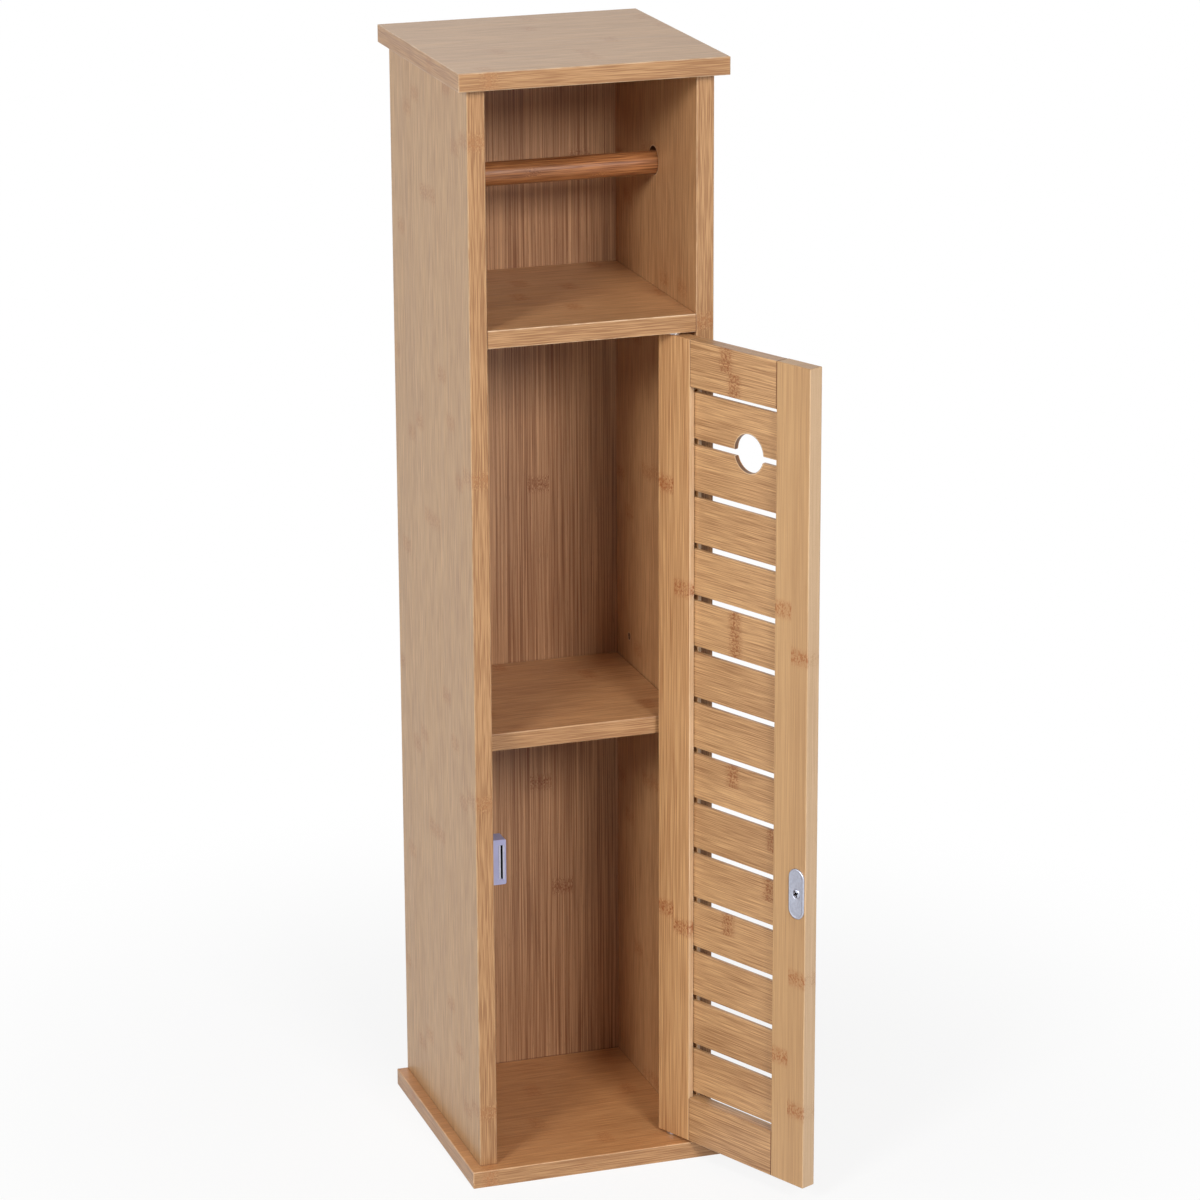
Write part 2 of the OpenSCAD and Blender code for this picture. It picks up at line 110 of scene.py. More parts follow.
# %% Numbers inside a material
class Amount:
    """A number, colour or vector somewhere in a material."""

    def __init__(self, recipe, socket):
        self.recipe = recipe
        self.socket = socket

    def math(self, operation, *terms):
        return self.recipe.add("ShaderNodeMath", {"operation": operation}, terms)

    def __add__(self, other):
        return self.math("ADD", self, other)

    def __sub__(self, other):
        return self.math("SUBTRACT", self, other)

    def __rsub__(self, other):
        return self.math("SUBTRACT", other, self)

    def __mul__(self, other):
        return self.math("MULTIPLY", self, other)

    def __truediv__(self, other):
        return self.math("DIVIDE", self, other)

    __radd__ = __add__
    __rmul__ = __mul__

    def floor(self):
        return self.math("FLOOR", self)

    def fraction(self):
        return self.math("FRACT", self)

    def size(self):
        return self.math("ABSOLUTE", self)

    def least(self, other):
        return self.math("MINIMUM", self, other)

    def most(self, other):
        return self.math("MAXIMUM", self, other)

    def step(self, start, end):
        """Goes smoothly from 0 at start to 1 at end, which may be the lower one."""
        settings = {"interpolation_type": "SMOOTHSTEP"}
        return self.recipe.add("ShaderNodeMapRange", settings, [self, start, end, 0.0, 1.0])


# %% [markdown]
# A recipe holds the nodes of one material, or of the world. Its `add` puts in any node: the settings
# come first, because some of them change which sockets the node has, and then the values or links
# of the sockets.


# %% Recipes
class Recipe:
    """The nodes of a material or world while it is put together."""

    def __init__(self, owner):
        owner.use_nodes = True
        self.owner = owner
        self.tree = owner.node_tree

    def fill(self, socket, value):
        """Links a socket to an amount, or sets it to a plain value."""
        if isinstance(value, Amount):
            self.tree.links.new(value.socket, socket)
        else:
            socket.default_value = value

    def add(self, kind, settings, inputs, output=0):
        """Puts in one node and returns one of its outputs."""
        node = self.tree.nodes.new(kind)
        for name, value in settings.items():
            setattr(node, name, value)
        named = inputs.items() if isinstance(inputs, dict) else enumerate(inputs)
        for socket, value in named:
            self.fill(node.inputs[socket], value)
        return Amount(self, node.outputs[output])

    def vector(self, x, y, z):
        return self.add("ShaderNodeCombineXYZ", {}, [x, y, z])

    def distance(self, x, y, z=0.0):
        """How far a place lies from the point where x, y and z are zero."""
        spot = self.vector(x, y, z)
        return self.add("ShaderNodeVectorMath", {"operation": "LENGTH"}, [spot], output="Value")

    def noise(self, x, y, z, detail=2.0):
        """Soft random values around 0.5, whose lumps are about one unit of x, y and z wide."""
        inputs = {"Vector": self.vector(x, y, z), "Scale": 1.0, "Detail": detail, "Roughness": 0.55}
        return self.add("ShaderNodeTexNoise", {"noise_dimensions": "3D"}, inputs)

    def luck(self, x, y, z):
        """One random value from 0 to 1 for each whole x, y and z."""
        spot = self.vector(x, y, z)
        return self.add("ShaderNodeTexWhiteNoise", {"noise_dimensions": "3D"}, [spot])

    def mix(self, share, first, second):
        """Colours: the first where share is 0, the second where it is 1."""
        inputs = {0: share, 6: first, 7: second}
        return self.add("ShaderNodeMix", {"data_type": "RGBA"}, inputs, output=2)

    def swap(self, share, first, second):
        """Numbers: the first where share is 0, the second where it is 1."""
        inputs = {0: share, 2: first, 3: second}
        return self.add("ShaderNodeMix", {"data_type": "FLOAT"}, inputs)

    def seen_directly(self):
        """1 for what the camera sees, by itself or in a shiny or clear thing, and 0 for other light."""
        rays = [self.add("ShaderNodeLightPath", {}, {}, output=f"Is {kind} Ray")
                for kind in ("Camera", "Glossy", "Transmission")]
        return rays[0].most(rays[1]).most(rays[2])

    def bump(self, height, depth):
        """A direction for light to bounce off, from a height between 0 and 1 and a depth in metres."""
        inputs = {"Strength": 1.0, "Distance": depth, "Height": height}
        return self.add("ShaderNodeBump", {}, inputs)

    def surface(self, **sockets):
        """Fills the shader's own sockets; an underscore in a name stands for a space."""
        shader = self.tree.nodes["Principled BSDF"]
        for name, value in sockets.items():
            self.fill(shader.inputs[name.replace("_", " ").title()], value)
        return self.owner


# %% [markdown]
# Colours are written as they are picked in a photo, from 0 to 255. A shader counts light instead, in
# which half as bright is half the number, so they are converted once, here.


# %% Colours
def srgb(red, green, blue):
    """A colour as a picture editor gives it, from 0 to 255, as a shader wants it."""
    def linear(level):
        level = level / 255
        return level / 12.92 if level <= 0.04045 else ((level + 0.055) / 1.055) ** 2.4
    return (linear(red), linear(green), linear(blue), 1.0)


def tint(colour, red, green, blue):
    """A colour with its parts made stronger or weaker."""
    return (colour[0] * red, colour[1] * green, colour[2] * blue, 1.0)


print("middle grey, as light:", round(srgb(128, 128, 128)[0], 3))

# %% [markdown]
# Every pattern starts from a place on the piece, in millimetres, measured along the piece's own
# length, width and thickness. A Mapping node of the type Texture undoes a turn and a shift and
# scales metres to millimetres, so one helper serves the cabinet, the door and single fittings.


# %% Places on a piece
def place(recipe, centre=(0, 0, 0), turn=0.0):
    """The x, y and z of the shaded point in millimetres, from a centre and turned about z."""
    here = recipe.add("ShaderNodeTexCoord", {}, {}, output="Object")
    inputs = {"Vector": here, "Location": centre, "Rotation": (0, 0, turn), "Scale": (MM,) * 3}
    own = recipe.add("ShaderNodeMapping", {"vector_type": "TEXTURE"}, inputs)
    return [recipe.add("ShaderNodeSeparateXYZ", {}, [own], output=axis) for axis in "XYZ"]


# %% [markdown]
# ## Bamboo
# Bamboo board is glued up from long strips of the cane's wall. Three things tell it from wood: fine
# straight fibres, a tone that changes from strip to strip, and the knuckles, where a strip crosses a
# joint of the cane and its fibres knot into a short orange squiggle. A picture of bamboo would
# repeat and stretch. This recipe draws strips, fibres and knuckles from the place instead, so that
# they run on round the edges and differ on every board. Fibres are noise that is stretched along the
# grain, and they sway a little from side to side, because no cane grows quite straight.


# %% Fibres
SWAY_LENGTH = 160
SWAY_WIDTH = 50


class Grain:
    """Places along, across and through the fibres of one piece."""

    def __init__(self, recipe, along, side, depth, seed, sway):
        swing = recipe.noise(along / SWAY_LENGTH, side / SWAY_WIDTH, depth / SWAY_WIDTH + seed)
        self.recipe = recipe
        self.along = along
        self.side = side + (swing - 0.5) * sway
        self.depth = depth
        self.seed = seed

    def lines(self, length, width, shift=0.0, detail=2.0):
        """Random lines of about this length and width, as values around 0.5."""
        start = self.along / length + shift
        return self.recipe.noise(start, self.side / width, self.depth / width + self.seed, detail)


# %% [markdown]
# A knuckle is drawn in two steps. Near it the fibres are pushed sideways by a fine noise, which
# turns straight lines into a squiggle, and blots of a darker orange lie over them. A knuckle never
# crosses from one strip into the next. The ones that stand out on the real cabinet are given by
# their place, in millimetres along and across the grain, and quiet boards have theirs at random.


# %% Knuckles
KNUCKLE_GAP = 230.0
KNUCKLE_HALF = 8.5
KNUCKLE_CORE = 1.5


def near_knuckle(recipe, along, strip_number, look, low, knuckles, seed):
    """1 where the fibres knot, 0 elsewhere."""
    if knuckles is None:
        shift = recipe.luck(strip_number, seed, 2.0)
        gap = ((along / KNUCKLE_GAP + shift).fraction() - 0.5) * KNUCKLE_GAP
        return gap.size().step(KNUCKLE_HALF, KNUCKLE_CORE)
    near = 0.0
    for knuckle_along, knuckle_side in knuckles:
        its_strip = math.floor((knuckle_side - low) / look["strip"])
        in_strip = (strip_number - its_strip).size().step(0.6, 0.4)
        near = (along - knuckle_along).size().step(KNUCKLE_HALF, KNUCKLE_CORE) * in_strip + near
    return near


# %% [markdown]
# Edges get rubbed, and they catch the light. The pale line along the arrises, the sharp corners where
# two faces meet, is partly the rubbed pale core and partly a painted highlight. On a face one of the
# distances to the piece's faces is zero, and the next one leads to the nearest arris. Where the end of
# a piece butts against another one nothing rubs it: there is a dark seam.


# %% Worn arrises with painted highlights
def distances_to_faces(spot, node):
    """How far the shaded point lies inside the piece's box, along x, y and z."""
    low, high = reach(node)
    return [(high[axis] - low[axis]) / 2 - (spot[axis] - (low[axis] + high[axis]) / 2).size()
            for axis in range(3)]


ARRIS_WIDTH = 0.8
WEAR_AND_HIGHLIGHT_PATCH = 9
WEAR_AND_HIGHLIGHT_LEAST = 0.4


def worn_and_highlighted_arris(recipe, spot, node, grain, ends_too):
    """1 on a thin broken line along the arrises of a box-shaped piece, partly rubbed and partly a painted
    highlight, 0 elsewhere.
    """
    distances = distances_to_faces(spot, node)
    end = distances.pop(grain)
    to_side, to_face = distances
    to_arris = to_side.most(to_face)
    if ends_too:
        to_arris = to_arris.least(end.most(to_side.least(to_face)))
    patches = recipe.noise(*[part / WEAR_AND_HIGHLIGHT_PATCH for part in spot]).step(0.35, 0.65)
    line = to_arris.step(ARRIS_WIDTH, ARRIS_WIDTH * 0.4)
    return line * (patches * (1 - WEAR_AND_HIGHLIGHT_LEAST) + WEAR_AND_HIGHLIGHT_LEAST)


# %% [markdown]
# The boards are faced with a quiet veneer, and their narrow edges are lipped with a strip of their
# own, which is warmer, shows its fibres more, and has its grain along the edge. So a piece can have
# lippings on the faces at the ends of one or two of its axes. On the top and the base the lipping at
# the sides runs from front to back, across the grain of the face, so there the axes change places.


# %% Lippings
LIPPING = 0.35
SOFT = 0.1


def lipping(spot, node, axes):
    """1 on the faces at both ends of the given axes, 0 elsewhere."""
    distances = distances_to_faces(spot, node)
    mask = distances[axes[0]].step(LIPPING, LIPPING - SOFT)
    for axis in axes[1:]:
        mask = mask.most(distances[axis].step(LIPPING, LIPPING - SOFT))
    return mask


# %% [markdown]
# A drilled hole shows end grain inside, and its inside is painted dark: painted shade, since little
# light reaches into the hole. The drill leaves a pale worn ring around its mouth. Both are found by
# their distance from the hole's edge, and neither reaches the face on which the hole doesn't come out.


# %% The edge of a hole
FAR_SKIN = 0.4


def from_hole_edge(recipe, spot, hole):
    """How far the shaded point lies outside a round hole, given by two axes, its middle and radius."""
    first, second, middle_first, middle_second, radius = hole
    return recipe.distance(spot[first] - middle_first, spot[second] - middle_second) - radius


def short_of_far_face(spot, node, hole):
    """1 in the depth of the piece from the face near the object's middle, 0 at the far face."""
    axis = 3 - hole[0] - hole[1]
    far = max(abs(corner[axis]) for corner in reach(node))
    return spot[axis].size().step(far - FAR_SKIN, far - FAR_SKIN * 2)


# %% [markdown]
# Fibres show in several sizes at once: wide soft streaks, lines, hairs about half a millimetre wide,
# and short dark pores. Each is the same stretched noise at another scale. The luck of a strip shifts
# them along, so that no fibre runs on from strip to strip.


# %% Streaks, lines, hairs and pores
STREAK_LENGTH = 220
STREAK_WIDTH = 2.6
LINE_WIDTH = 0.8
HAIR_LENGTH_SHARE = 0.4
HAIR_WIDTH = 0.45
PORE_LENGTH = 8
PORE_WIDTH = 0.45


def fibre_marks(fibres, luck, length):
    """The four sizes of marks, of which the lines have the given length."""
    streaks = fibres.lines(STREAK_LENGTH, STREAK_WIDTH, shift=luck * 17)
    lines = fibres.lines(length, LINE_WIDTH, shift=luck * 31, detail=1.5)
    hairs = fibres.lines(length * HAIR_LENGTH_SHARE, HAIR_WIDTH, shift=luck * 13, detail=1.0)
    pores = fibres.lines(PORE_LENGTH, PORE_WIDTH, shift=luck * 7, detail=1.0).step(0.62, 0.75)
    return streaks, lines, hairs, pores


# %% [markdown]
# Wear, painted highlights, dark seams and painted shade lie over the finished colour. Rubbed arrises,
# which also carry a painted highlight, and the worn rings of holes are paler and greyer than the pale
# colour; seams, and the insides of holes, which are painted with shade, are far darker than the deep one.


# %% Wear, painted highlights, seams and holes with painted shade
WEAR_AND_HIGHLIGHT_TINT = (1.3, 1.7, 2.4)
DARK_TINT = (0.4, 0.3, 0.25)
SEAM_WIDTH = 0.8
RING_MIDDLE = 0.5
RING_HALF = 0.5
RING_SHARE = 0.5
# How far into a hole and how strongly its painted shade reaches.
HOLE_FADE = 0.4
HOLE_SHADE_SHARE = 0.85


def wear_seams_and_painted_light(recipe, colour, spot, node, look, grain, ends_too, holes):
    """A colour with the piece's rubbed arrises and their painted highlight, dark seams, and the pale rings and
    painted shade of its holes laid over it.
    """
    wear_and_highlight_colour = tint(look["pale"], *WEAR_AND_HIGHLIGHT_TINT)
    dark = tint(look["deep"], *DARK_TINT)
    if look["wear"]:
        # The pale arris line is wear and a painted highlight together.
        arris_wear_and_highlight = worn_and_highlighted_arris(recipe, spot, node, grain, ends_too)
        colour = recipe.mix(arris_wear_and_highlight * look["wear"], colour, wear_and_highlight_colour)
    if look["seam"]:
        seam = distances_to_faces(spot, node)[grain].step(SEAM_WIDTH, SEAM_WIDTH / 4)
        colour = recipe.mix(seam * look["seam"], colour, dark)
    for hole in holes:
        outside = from_hole_edge(recipe, spot, hole)
        there = short_of_far_face(spot, node, hole)
        ring = (outside - RING_MIDDLE).size().step(RING_HALF, RING_HALF / 5)
        # The inside of the hole is painted dark: painted shade in the hole.
        inside = outside.step(HOLE_FADE, 0.0)
        colour = recipe.mix(ring * there * RING_SHARE, colour, wear_and_highlight_colour)
        colour = recipe.mix(inside * there * HOLE_SHADE_SHARE, colour, dark)
    return colour


# %% [markdown]
# The recipe puts all of this together. The place is split into along, across and through the grain.
# Strips give each part of the width its own luck. The fibres' marks add up to one tone, which picks
# the colour between a pale and a deep one, and pores, knuckles, wear, painted highlights and painted
# shade are laid over it. The same marks roughen the gloss and give the surface a relief of hundredths
# of a millimetre. Each piece has a seed of its own, which moves it to another part of the noise, so
# that no two pieces are alike.


# %% The bamboo recipe
KNUCKLE_PUSH = 5
SQUIGGLE_LENGTH, SQUIGGLE_WIDTH, SQUIGGLE_DEPTH = 2.0, 1.4, 2.5
LINES_SHARE = 1.9
HAIRS_SHARE = 3.3
CLOUD_LENGTH = 110
CLOUD_WIDTH = 30
TONE_LOW, TONE_HIGH = -0.35, 1.35
PORE_TINT = (0.55, 0.45, 0.4)
KNOT_TINT = (0.95, 0.64, 0.42)
KNOT_BLOTS, KNOT_LEAST = 0.7, 0.25
STREAK_GLOSS, KNOT_GLOSS = 0.15, 0.08
RELIEF = 0.00006


def bamboo(node, look, grain, across, seed, knuckles=None, lipped=(), turned=False, holes=()):
    """Bamboo whose fibres run along one axis of the piece and whose strips lie across another."""
    recipe = Recipe(bpy.data.materials.new(node + "_bamboo"))
    spot = place(recipe, DOOR_PIVOT, DOOR_ANGLE) if node in DOOR_NODES else place(recipe)
    axes = [spot[grain], spot[across], spot[3 - grain - across]]
    if turned:
        at_side = lipping(spot, node, (X,))
        axes = [recipe.swap(at_side, *pair) for pair in zip(axes, (spot[Y], spot[Z], spot[X]))]
    along, side, depth = axes
    fibres = Grain(recipe, along, side, depth, seed, look["sway"])

    low = reach(node)[0][across]
    strip_number = ((side - low) / look["strip"]).floor()
    luck = recipe.luck(strip_number, seed, 1.0)

    near = near_knuckle(recipe, along, strip_number, look, low, knuckles, seed)
    squiggle = recipe.noise(along / SQUIGGLE_LENGTH, side / SQUIGGLE_WIDTH,
                            depth / SQUIGGLE_DEPTH + seed, detail=3.0)
    fibres.side = fibres.side + (squiggle - 0.5) * near * KNUCKLE_PUSH
    knot = near * (squiggle.step(0.44, 0.62) * KNOT_BLOTS + KNOT_LEAST) * look["knots"]

    streaks, lines, hairs, pores = fibre_marks(fibres, luck, look["length"])
    clouds = recipe.noise(along / CLOUD_LENGTH, side / CLOUD_WIDTH, depth / CLOUD_WIDTH + seed) - 0.5
    fine = (lines - 0.5) * LINES_SHARE + (hairs - 0.5) * HAIRS_SHARE
    pale, deep = look["pale"], look["deep"]
    if lipped:
        edge = lipping(spot, node, lipped)
        fine = fine * (edge * look["edge_fibres"] + 1)
        pale = recipe.mix(edge, pale, look["edge_pale"])
        deep = recipe.mix(edge, deep, look["edge_deep"])
    tone = (streaks - 0.5) * look["streaks"] + fine * look["fibres"] + (luck - 0.5) * look["tones"]
    tone = tone + clouds * look["clouds"] + 0.5
    colour = recipe.mix(tone.step(TONE_LOW, TONE_HIGH), deep, pale)
    colour = recipe.mix(pores * look["pores"], colour, tint(look["deep"], *PORE_TINT))
    colour = recipe.mix(knot, colour, tint(look["deep"], *KNOT_TINT))
    colour = wear_seams_and_painted_light(recipe, colour, spot, node, look, grain, turned, holes)

    gloss = look["roughness"] + (streaks - 0.5) * STREAK_GLOSS + knot * KNOT_GLOSS
    relief = recipe.bump(lines * 0.5 + hairs * 0.3 - pores * 0.6 - knot * 0.4, RELIEF)
    return recipe.surface(base_color=colour, roughness=gloss, normal=relief,
                          specular_tint=(look["shine"],) * 3 + (1.0,))


# %% [markdown]
# The further a finish's pale and deep colours lie apart, the stronger its fibres show. The outside of
# the cabinet is quiet. The back panel is striped from side to side. The slats of the door show every
# fibre. The rod is a darker, redder brown, and the hidden dowels are pale beech. Strip, sway and
# length are in millimetres, and the other settings say how strong each mark is.

# %% Finishes
# The arris setting lays a pale line on the arrises, partly wear and partly a painted highlight.
USUAL = dict(strip=19.0, streaks=0.5, fibres=0.9, tones=0.2, clouds=0.3, knots=0.7, pores=0.1,
             wear=0.5, seam=0.6, sway=1.5, length=60, roughness=0.4, shine=1.0,
             edge_pale=(186, 143, 99), edge_deep=(148, 104, 66), edge_fibres=0.2)


def finish(pale, deep, **changes):
    """The usual settings of a bamboo finish, with its own colours and changes."""
    look = dict(USUAL, pale=pale, deep=deep, **changes)
    for part in ("pale", "deep", "edge_pale", "edge_deep"):
        look[part] = srgb(*look[part])
    return look


RIGHT_SIDE = finish((202, 156, 110), (160, 114, 74), fibres=1.3, streaks=0.6, knots=0.5, wear=0.3)
LEFT_SIDE = dict(RIGHT_SIDE, pale=srgb(198, 158, 111), deep=srgb(157, 116, 75))
TOP = finish((204, 164, 120), (162, 122, 84), fibres=0.75, streaks=0.4, knots=0.4, seam=0,
             edge_fibres=0.7)
BASE = dict(TOP, pale=srgb(211, 157, 105), deep=srgb(167, 112, 67))
SHELF = finish((206, 158, 110), (164, 115, 76), fibres=1.2, clouds=0.6, knots=0.6)
BACK = finish((203, 158, 117), (126, 79, 48), strip=16.0, fibres=0.75, streaks=0.3, tones=0.3,
              pores=0.3, wear=0, sway=0.5, length=200)
STILE = dict(strip=15.5, knots=1.0, wear=0.15, seam=0, length=120, edge_pale=(222, 190, 154),
             edge_deep=(190, 152, 112), edge_fibres=0)
HINGE_STILE = finish((213, 168, 117), (154, 104, 64), fibres=0.8, streaks=0.35, **STILE)
LATCH_STILE = finish((206, 166, 118), (162, 120, 79), fibres=0.4, streaks=0.3, **STILE)
SLAT = finish((214, 170, 121), (142, 99, 62), strip=16.5, fibres=0.75, streaks=0.25, tones=0.3,
              knots=1.0, pores=0.3, wear=0.1, length=75)
ROD = finish((180, 120, 74), (114, 66, 36), strip=6.0, fibres=1.2, knots=0.1, wear=0, seam=0,
             roughness=0.33, shine=0.75)
BEECH = finish((222, 190, 146), (200, 162, 116), tones=0.0, knots=0.0, wear=0, roughness=0.7)
print("strips are", SLAT["strip"], "mm wide on the slats and", BACK["strip"], "mm on the back")

# %% [markdown]
# A piece of the model is painted by giving it its finish in place of the material it comes with. The
# panels carry their grain upright, the boards and shelves from side to side. The mouths of the rod's
# holes and of the spare pin holes get their worn rings, and their insides get painted shade. A hole is
# given by the two axes that it is round in, by its middle along them and by its radius. The places of
# the knuckles on the back are measured along the grain first, then across.


# %% Bamboo for the cabinet
def paint(material, *nodes):
    """Gives the named pieces of the model a material."""
    for name in nodes:
        slots = frame["nodes"][name].data.materials
        slots.clear()
        slots.append(material)


ROD_HOLE = (Y, Z, 0.0, 702.5, 9.75)
SPARE_RISE = 35.0
low, high = reach("shelf_pins")
pin_radius = (high[Z] - low[Z]) / 2
spare_z = low[Z] + pin_radius + SPARE_RISE
spare_places = (low[Y] + pin_radius, high[Y] - pin_radius)
HOLES = [ROD_HOLE] + [(Y, Z, y, spare_z, pin_radius) for y in spare_places]
SIDES = (("left_side_panel", LEFT_SIDE), ("right_side_panel", RIGHT_SIDE))
for number, (node, look) in enumerate(SIDES):
    paint(bamboo(node, look, Z, Y, seed=1.3 + number, lipped=(Y,), holes=HOLES), node)
for number, (node, look) in enumerate((("top_board", TOP), ("base_board", BASE))):
    paint(bamboo(node, look, X, Y, seed=4.1 + number, lipped=(X, Y), turned=True), node)
# The upper shelf's front arris gets the strongest pale line: wear and a painted highlight.
for number, (node, wear) in enumerate((("upper_shelf", 1.0), ("middle_shelf", 0.3))):
    paint(bamboo(node, dict(SHELF, wear=wear), X, Y, seed=7.7 + number, lipped=(Y,)), node)
BACK_KNUCKLES = [(229.4, 7.7), (146.7, 28.6), (520.0, -30.0), (455.0, 12.0), (690.0, 40.0)]
paint(bamboo("back_panel", BACK, Z, X, seed=9.2, knuckles=BACK_KNUCKLES), "back_panel")
paint(bamboo("roll_rod", ROD, X, Z, seed=11.4), "roll_rod")
print("spare pin holes at a height of", round(spare_z, 1), "mm, with a radius of", round(pin_radius, 2))

# %% [markdown]
# On the door the places are measured from the axis it turns on: first along the grain, then across.
# The finger hole is cut where two slats and the slot between them lie, so every slat that comes near
# its middle gets the hole's worn ring and the painted shade on its cut wall.

# %% Bamboo for the door
FINGER_HOLE = (X, Z, 72.6, 529.7, 13.5)
HOLE_MARGIN = 10
HINGE_KNUCKLES = [(494.7, -4.6), (423.3, 11.6), (185.4, -3.2), (174.9, 12.9)]
LATCH_KNUCKLES = [(430.2, 112.1), (399.6, 128.3), (168.4, 126.8), (107.2, 111.8), (71.0, 121.0)]
SLAT_KNUCKLES = [(55.2, 592.0), (62.9, 575.6), (60.2, 405.0), (60.7, 394.4), (58.8, 303.0),
                 (97.8, 254.6), (94.3, 216.4), (54.6, 181.6)]
slats = sorted(name for name in frame["nodes"] if name.startswith("slat_"))
STILES = (("hinge_stile", HINGE_STILE, HINGE_KNUCKLES), ("latch_stile", LATCH_STILE, LATCH_KNUCKLES))
for number, (node, look, knuckles) in enumerate(STILES):
    paint(bamboo(node, look, Z, X, seed=12.6 + number, knuckles=knuckles, lipped=(X,)), node)
for number, node in enumerate(("top_rail", "bottom_rail", *slats)):
    low, high = reach(node)
    own = [knuckle for knuckle in SLAT_KNUCKLES if low[Z] < knuckle[1] < high[Z]]
    holes = [FINGER_HOLE] if low[Z] - HOLE_MARGIN < FINGER_HOLE[3] < high[Z] + HOLE_MARGIN else []
    paint(bamboo(node, SLAT, X, Z, seed=15.3 + number, knuckles=own, holes=holes), node)
dowels = [name for name in frame["nodes"] if name.endswith("_dowels")]
for number, node in enumerate(dowels):
    paint(bamboo(node, BEECH, X, Y, seed=40.2 + number, knuckles=[]), node)
print("bamboo pieces:", len([one for one in bpy.data.materials if one.name.endswith("_bamboo")]))

# %% [markdown]
# ## Metal and plastic
# Zinc plate is a soft grey with cloudy patches and fine rubbing marks. A catch's pole plates keep
# their steel colour only at their front edges; behind them, inside the housing, they carry painted shade.


# %% Steel
MOTTLE = 2
RUB_WIDTH = 0.3
RUB_LENGTH = 6
TIP_REACH = 0.3
MOTTLE_TINT = (0.82, 0.82, 0.84)
# How dark the painted shade inside the catch's housing makes the steel.
HOUSING_SHADE_TINT = (0.05, 0.05, 0.05)
FINE_RELIEF = 0.00002


def steel(name, colour, roughness, tip=None):
    """Steel that, where a tip is given by its place along y, keeps its colour at the tip and carries painted shade
    behind it.
    """
    recipe = Recipe(bpy.data.materials.new(name))
    x, y, z = place(recipe)
    mottle = recipe.noise(x / MOTTLE, y / MOTTLE, z / MOTTLE, detail=3.0)
    rubbing = recipe.noise(x / RUB_WIDTH, y / RUB_WIDTH, z / RUB_LENGTH)
    shade = recipe.mix(mottle.step(0.3, 0.75), colour, tint(colour, *MOTTLE_TINT))
    # Behind the tip the steel is painted nearly black: painted shade inside the catch's housing.
    if tip:
        tip_free_of_painted_shade = (y - tip).size().step(TIP_REACH, TIP_REACH / 3)
        shade = recipe.mix(tip_free_of_painted_shade, tint(colour, *HOUSING_SHADE_TINT), shade)
    gloss = roughness + (rubbing - 0.5) * 0.2
    return recipe.surface(base_color=shade, metallic=1.0, roughness=gloss,
                          normal=recipe.bump(rubbing, FINE_RELIEF))


zinc = steel("zinc_plated_steel", srgb(198, 203, 218), 0.38)
bright = steel("bright_steel", srgb(222, 222, 224), 0.22)
# The pole plates carry painted shade behind their front edges.
dull = steel("pole_steel_painted_shade", srgb(190, 190, 205), 0.5, tip=reach("catch_pole_plates")[0][Y])
paint(zinc, "base_screws", "shelf_pins", "catch_screws", "lower_pivot_pin", "strike_plate", "strike_screw")
paint(bright, "upper_pivot_pin")
paint(dull, "catch_pole_plates")
print("steel finishes:", zinc.name, bright.name, dull.name)

# %% [markdown]
# The catch is moulded in a pale lavender plastic with a slight orange peel, and its magnet is black
# ferrite, which hardly shines. The nylon bushes of the door's pivots are coloured a dark tan rather than
# their own pale nylon, as painted shade at the door's pivots.


# %% Plastic
PEEL = 0.4
HAZE = 12
HAZE_TINT = (0.92, 0.92, 0.93)


def plastic(name, colour, roughness, shine=1.0):
    """A moulded surface with a slight orange peel; shine tells how much of the room it mirrors."""
    recipe = Recipe(bpy.data.materials.new(name))
    x, y, z = place(recipe)
    texture = recipe.noise(x / PEEL, y / PEEL, z / PEEL)
    haze = recipe.noise(x / HAZE, y / HAZE, z / HAZE)
    shade = recipe.mix(haze.step(0.3, 0.7), colour, tint(colour, *HAZE_TINT))
    gloss = roughness + (texture - 0.5) * 0.1
    return recipe.surface(base_color=shade, roughness=gloss, specular_tint=(shine,) * 3 + (1.0,),
                          normal=recipe.bump(texture, FINE_RELIEF))


paint(plastic("lavender_plastic", srgb(176, 178, 216), 0.4), "catch_housing")
# The bushes are coloured dark tan instead of pale nylon: painted shade at the door's pivots.
paint(plastic("nylon_bush_painted_shade", srgb(150, 116, 84), 0.5), "upper_pivot_bush", "lower_pivot_bush")
ferrite = plastic("ferrite", srgb(8, 8, 9), 0.9, shine=0.1)
paint(ferrite, "catch_magnet")
print("black ferrite, as light:", round(srgb(8, 8, 9)[0], 4))

# %% [markdown]
# ## The strike plate and its screw
# The magnet pulls on a small pressed steel plate on the door. The model has it as a flat blank. The
# real one has rounded edges, a shallow pressed field inside a rim, and a dished hole for a screw with
# a cross in its head. Such a piece is a stack of closed lines of corners: each line is a circle,
# pulled apart to the plate's long shape or pushed in to the shape of a cross, and the surface is
# bridged from one line to the next. That gives clean rings of faces that catch the light evenly.

# %% Lines of corners
CORNERS = 48


def circle_line(shape, radius, depth, stretch=0.0):
    """A closed line of corners around y, whose upper and lower halves can be pulled apart."""
    at_depth = Matrix.Translation((0, depth, 0)) @ Matrix.Rotation(math.pi / 2, 4, "X")
    made = bmesh.ops.create_circle(shape, segments=CORNERS, radius=radius, matrix=at_depth)
    for vertex in made["verts"]:
        if abs(vertex.co.z) > radius * 0.001:
            vertex.co.z += math.copysign(stretch, vertex.co.z)
    return made["verts"]


def edges_between(corners):
    """The edges whose two ends both lie in a set of corners."""
    inside = set(corners)
    return [edge for edge in {edge for corner in corners for edge in corner.link_edges}
            if set(edge.verts) <= inside]


